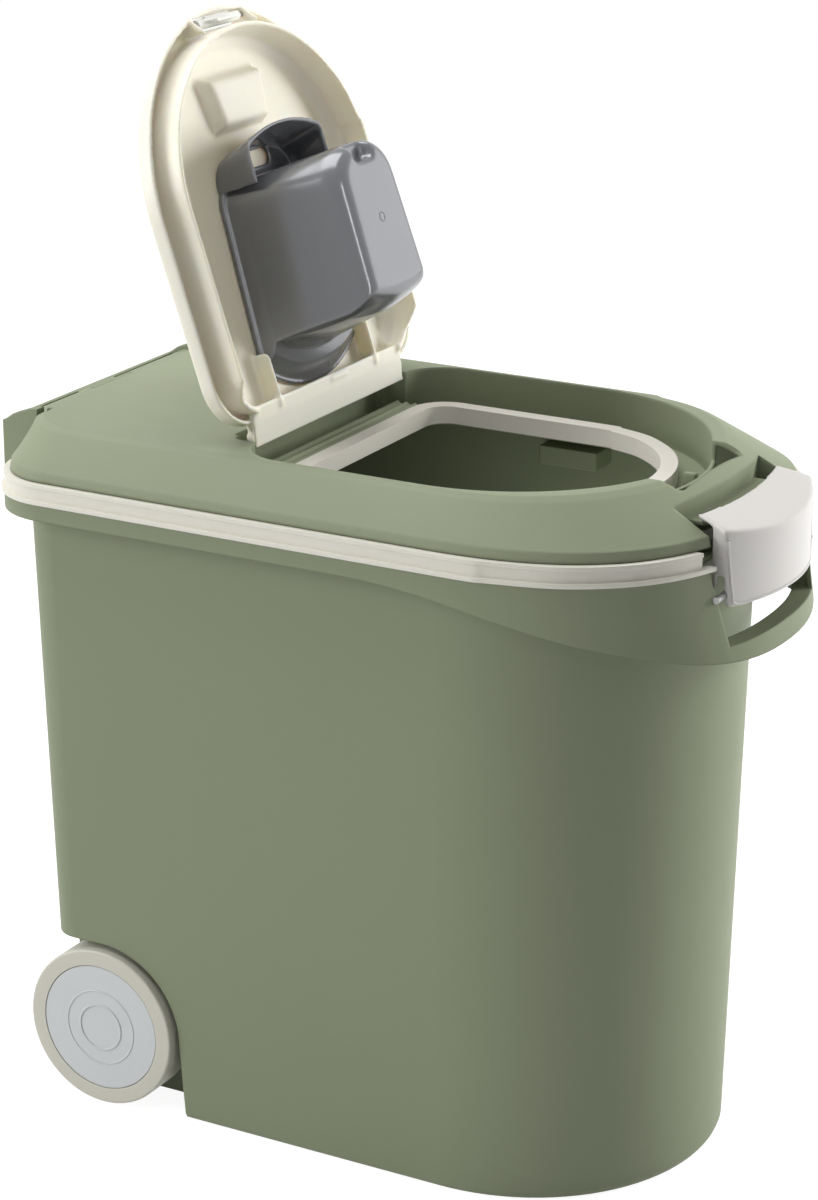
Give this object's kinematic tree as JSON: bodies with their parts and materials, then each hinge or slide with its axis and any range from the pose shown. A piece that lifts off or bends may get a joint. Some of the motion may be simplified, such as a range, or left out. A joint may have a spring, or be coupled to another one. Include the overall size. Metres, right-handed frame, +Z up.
{
  "type": "food storage bin",
  "caption": "Wheeled dry-food storage bin with a hinged latching lid, a flip-up pour door and a scoop clipped inside the door.",
  "frame": {"origin": "on the floor under the middle of the bin", "axes": "+Z up; +Y to the rear, where the lid hinge and the wheels are; -Y to the latch and the carrying handle"},
  "size_m": [0.288, 0.4652, 0.6506],
  "materials": {
    "tub": "satin sage green polypropylene",
    "trim": "satin cream",
    "door": "satin warm cream",
    "clip": "smooth off-white",
    "latch": "satin off-white",
    "scoop": "polished dark grey",
    "wheel": "satin stone grey",
    "hub": "satin light grey",
    "seal": "soft grey",
    "gasket": "soft cream",
    "steel": "drawn wire"
  },
  "bodies": {
    "tub": {"bin_body": "tub", "rim_trim_left": "trim", "rim_trim_right": "trim", "lid_hinge_pins": "steel", "latch_pin": "steel", "axle_left": "steel", "axle_right": "steel"},
    "lid": {"main_lid": "tub", "lid_seal": "seal", "opening_seal": "gasket", "door_hinge_pin": "steel"},
    "door": {"pour_door": "door", "clip_pin": "steel"},
    "clip": {"door_clip": "clip"},
    "scoop": {"scoop": "scoop"},
    "latch": {"front_latch": "latch"},
    "wheel_left": {"wheel_left": "wheel", "hub_cap_left": "hub"},
    "wheel_right": {"wheel_right": "wheel", "hub_cap_right": "hub"}
  },
  "joints": [
    {"name": "lid_hinge", "type": "hinge", "parent": "tub", "child": "lid", "pos_m": [0, 0.219, 0.412], "axis": [-1, 0, 0], "range_deg": [0, 95]},
    {"name": "door_hinge", "type": "hinge", "parent": "lid", "child": "door", "pos_m": [0, 0.0705, 0.4215], "axis": [1, 0, 0], "range_deg": [0, 108.8]},
    {"name": "clip_pivot", "type": "hinge", "parent": "door", "child": "clip", "pos_m": [0, 0.13838, 0.64262], "axis": [1, 0, 0], "range_deg": [-5, 5], "stiffness_Nm_per_rad": 0.02},
    {"name": "scoop_release", "type": "slide", "parent": "door", "child": "scoop", "axis": [0, -0.9466, 0.3223], "range_m": [0, 0.12]},
    {"name": "latch_pivot", "type": "hinge", "parent": "tub", "child": "latch", "pos_m": [0, -0.214, 0.368], "axis": [1, 0, 0], "range_deg": [-1.5, 60]},
    {"name": "wheel_left_spin", "type": "hinge", "parent": "tub", "child": "wheel_left", "pos_m": [-0.11, 0.157, 0.05], "axis": [1, 0, 0], "continuous": true},
    {"name": "wheel_right_spin", "type": "hinge", "parent": "tub", "child": "wheel_right", "pos_m": [0.11, 0.157, 0.05], "axis": [1, 0, 0], "continuous": true}
  ]
}
